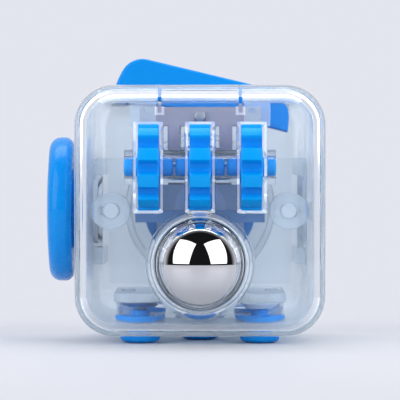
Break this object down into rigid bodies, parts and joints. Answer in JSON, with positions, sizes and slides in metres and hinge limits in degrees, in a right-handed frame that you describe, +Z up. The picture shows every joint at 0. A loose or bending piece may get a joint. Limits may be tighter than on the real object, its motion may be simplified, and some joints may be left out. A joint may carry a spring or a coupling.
{
  "type": "fidget cube",
  "caption": "Palm-sized clear plastic cube with a rocker switch, notched click wheels, a steel roller ball, a spinning dial, a gliding pad, push buttons and a worry stone hollow.",
  "frame": {"origin": "under the middle of the cube, on the plane of the button tips it stands on", "axes": "+Z up towards the rocker face, -Y towards the click wheels and ball, -X towards the dial, +X towards the hollow"},
  "size_m": [0.0369, 0.0398, 0.0376],
  "materials": {
    "clear_casing": "slightly milky clear plastic with a faint lavender tint, polished",
    "clear_inner": "clear plastic, as moulded",
    "blue_plastic": "bright azure blue, satin gloss",
    "polished_steel": "mirror-polished bearing ball",
    "bright_steel": "ground pin",
    "bracket_steel": "stamped sheet",
    "spring_steel": "rolled spring strip",
    "white_acetal": "satin white",
    "slip_washer": "waxy translucent white",
    "silicone": "translucent white silicone"
  },
  "bodies": {
    "casing": {"main_shell": "clear_casing", "front_cover": "clear_casing", "mechanism_plate": "clear_inner", "wheel_click_comb": "spring_steel", "roller_click_dome": "spring_steel", "rocker_axle": "bright_steel", "rocker_bracket": "bracket_steel", "rocker_snap_spring": "spring_steel", "dial_washer": "slip_washer", "dial_clip": "white_acetal", "pad_housing": "clear_inner", "click_dome_middle": "spring_steel", "click_dome_front_left": "spring_steel", "silent_puck_front_right": "silicone", "silent_puck_back_left": "silicone", "click_dome_back_right": "spring_steel", "button_backing_plate": "white_acetal"},
    "wheel_left": {"click_wheel_left": "blue_plastic"},
    "wheel_middle": {"click_wheel_middle": "blue_plastic"},
    "wheel_right": {"click_wheel_right": "blue_plastic"},
    "ball_carrier": {"roller_cup": "white_acetal"},
    "ball": {"roller_ball": "polished_steel"},
    "rocker_body": {"rocker": "blue_plastic"},
    "dial": {"spin_dial": "blue_plastic"},
    "pad_block": {"pad_centring_block": "silicone"},
    "pad": {"thumb_pad": "blue_plastic"},
    "push_middle": {"button_middle": "blue_plastic"},
    "push_front_left": {"button_front_left": "blue_plastic"},
    "push_front_right": {"button_front_right": "blue_plastic"},
    "push_back_left": {"button_back_left": "blue_plastic"},
    "push_back_right": {"button_back_right": "blue_plastic"}
  },
  "joints": [
    {"name": "wheel_left_turn", "type": "hinge", "parent": "casing", "child": "wheel_left", "pos_m": [-0.00673, -0.0115, 0.0232], "axis": [1, 0, 0], "continuous": true},
    {"name": "wheel_middle_turn", "type": "hinge", "parent": "casing", "child": "wheel_middle", "pos_m": [0, -0.0115, 0.0232], "axis": [1, 0, 0], "continuous": true},
    {"name": "wheel_right_turn", "type": "hinge", "parent": "casing", "child": "wheel_right", "pos_m": [0.00673, -0.0115, 0.0232], "axis": [1, 0, 0], "continuous": true},
    {"name": "ball_press", "type": "slide", "parent": "casing", "child": "ball_carrier", "axis": [0, 1, 0], "range_m": [0, 0.0007], "stiffness_N_per_m": 500, "springref_m": -0.001, "deforming": ["roller_click_dome"]},
    {"name": "ball_roll", "type": "hinge", "parent": "ball_carrier", "child": "ball", "pos_m": [0, -0.0145, 0.01065], "axis": [1, 0, 0], "continuous": true},
    {"name": "rocker_flip", "type": "hinge", "parent": "casing", "child": "rocker_body", "pos_m": [0, 0, 0.03], "axis": [0, -1, 0], "range_deg": [0, 27], "deforming": ["rocker_snap_spring"]},
    {"name": "dial_spin", "type": "hinge", "parent": "casing", "child": "dial", "pos_m": [-0.0165, 0, 0.0175], "axis": [-1, 0, 0], "continuous": true},
    {"name": "pad_glide_sideways", "type": "slide", "parent": "casing", "child": "pad_block", "axis": [1, 0, 0], "range_m": [-0.0012, 0.0012], "stiffness_N_per_m": 400},
    {"name": "pad_glide_upward", "type": "slide", "parent": "pad_block", "child": "pad", "axis": [0, 0, 1], "range_m": [-0.0012, 0.0012], "stiffness_N_per_m": 400},
    {"name": "button_middle_press", "type": "slide", "parent": "casing", "child": "push_middle", "axis": [0, 0, 1], "range_m": [0, 0.0008], "stiffness_N_per_m": 500, "deforming": ["click_dome_middle"]},
    {"name": "button_front_left_press", "type": "slide", "parent": "casing", "child": "push_front_left", "axis": [0, 0, 1], "range_m": [0, 0.0008], "stiffness_N_per_m": 500, "deforming": ["click_dome_front_left"]},
    {"name": "button_front_right_press", "type": "slide", "parent": "casing", "child": "push_front_right", "axis": [0, 0, 1], "range_m": [0, 0.0008], "stiffness_N_per_m": 500, "deforming": ["silent_puck_front_right"]},
    {"name": "button_back_left_press", "type": "slide", "parent": "casing", "child": "push_back_left", "axis": [0, 0, 1], "range_m": [0, 0.0008], "stiffness_N_per_m": 500, "deforming": ["silent_puck_back_left"]},
    {"name": "button_back_right_press", "type": "slide", "parent": "casing", "child": "push_back_right", "axis": [0, 0, 1], "range_m": [0, 0.0008], "stiffness_N_per_m": 500, "deforming": ["click_dome_back_right"]}
  ]
}
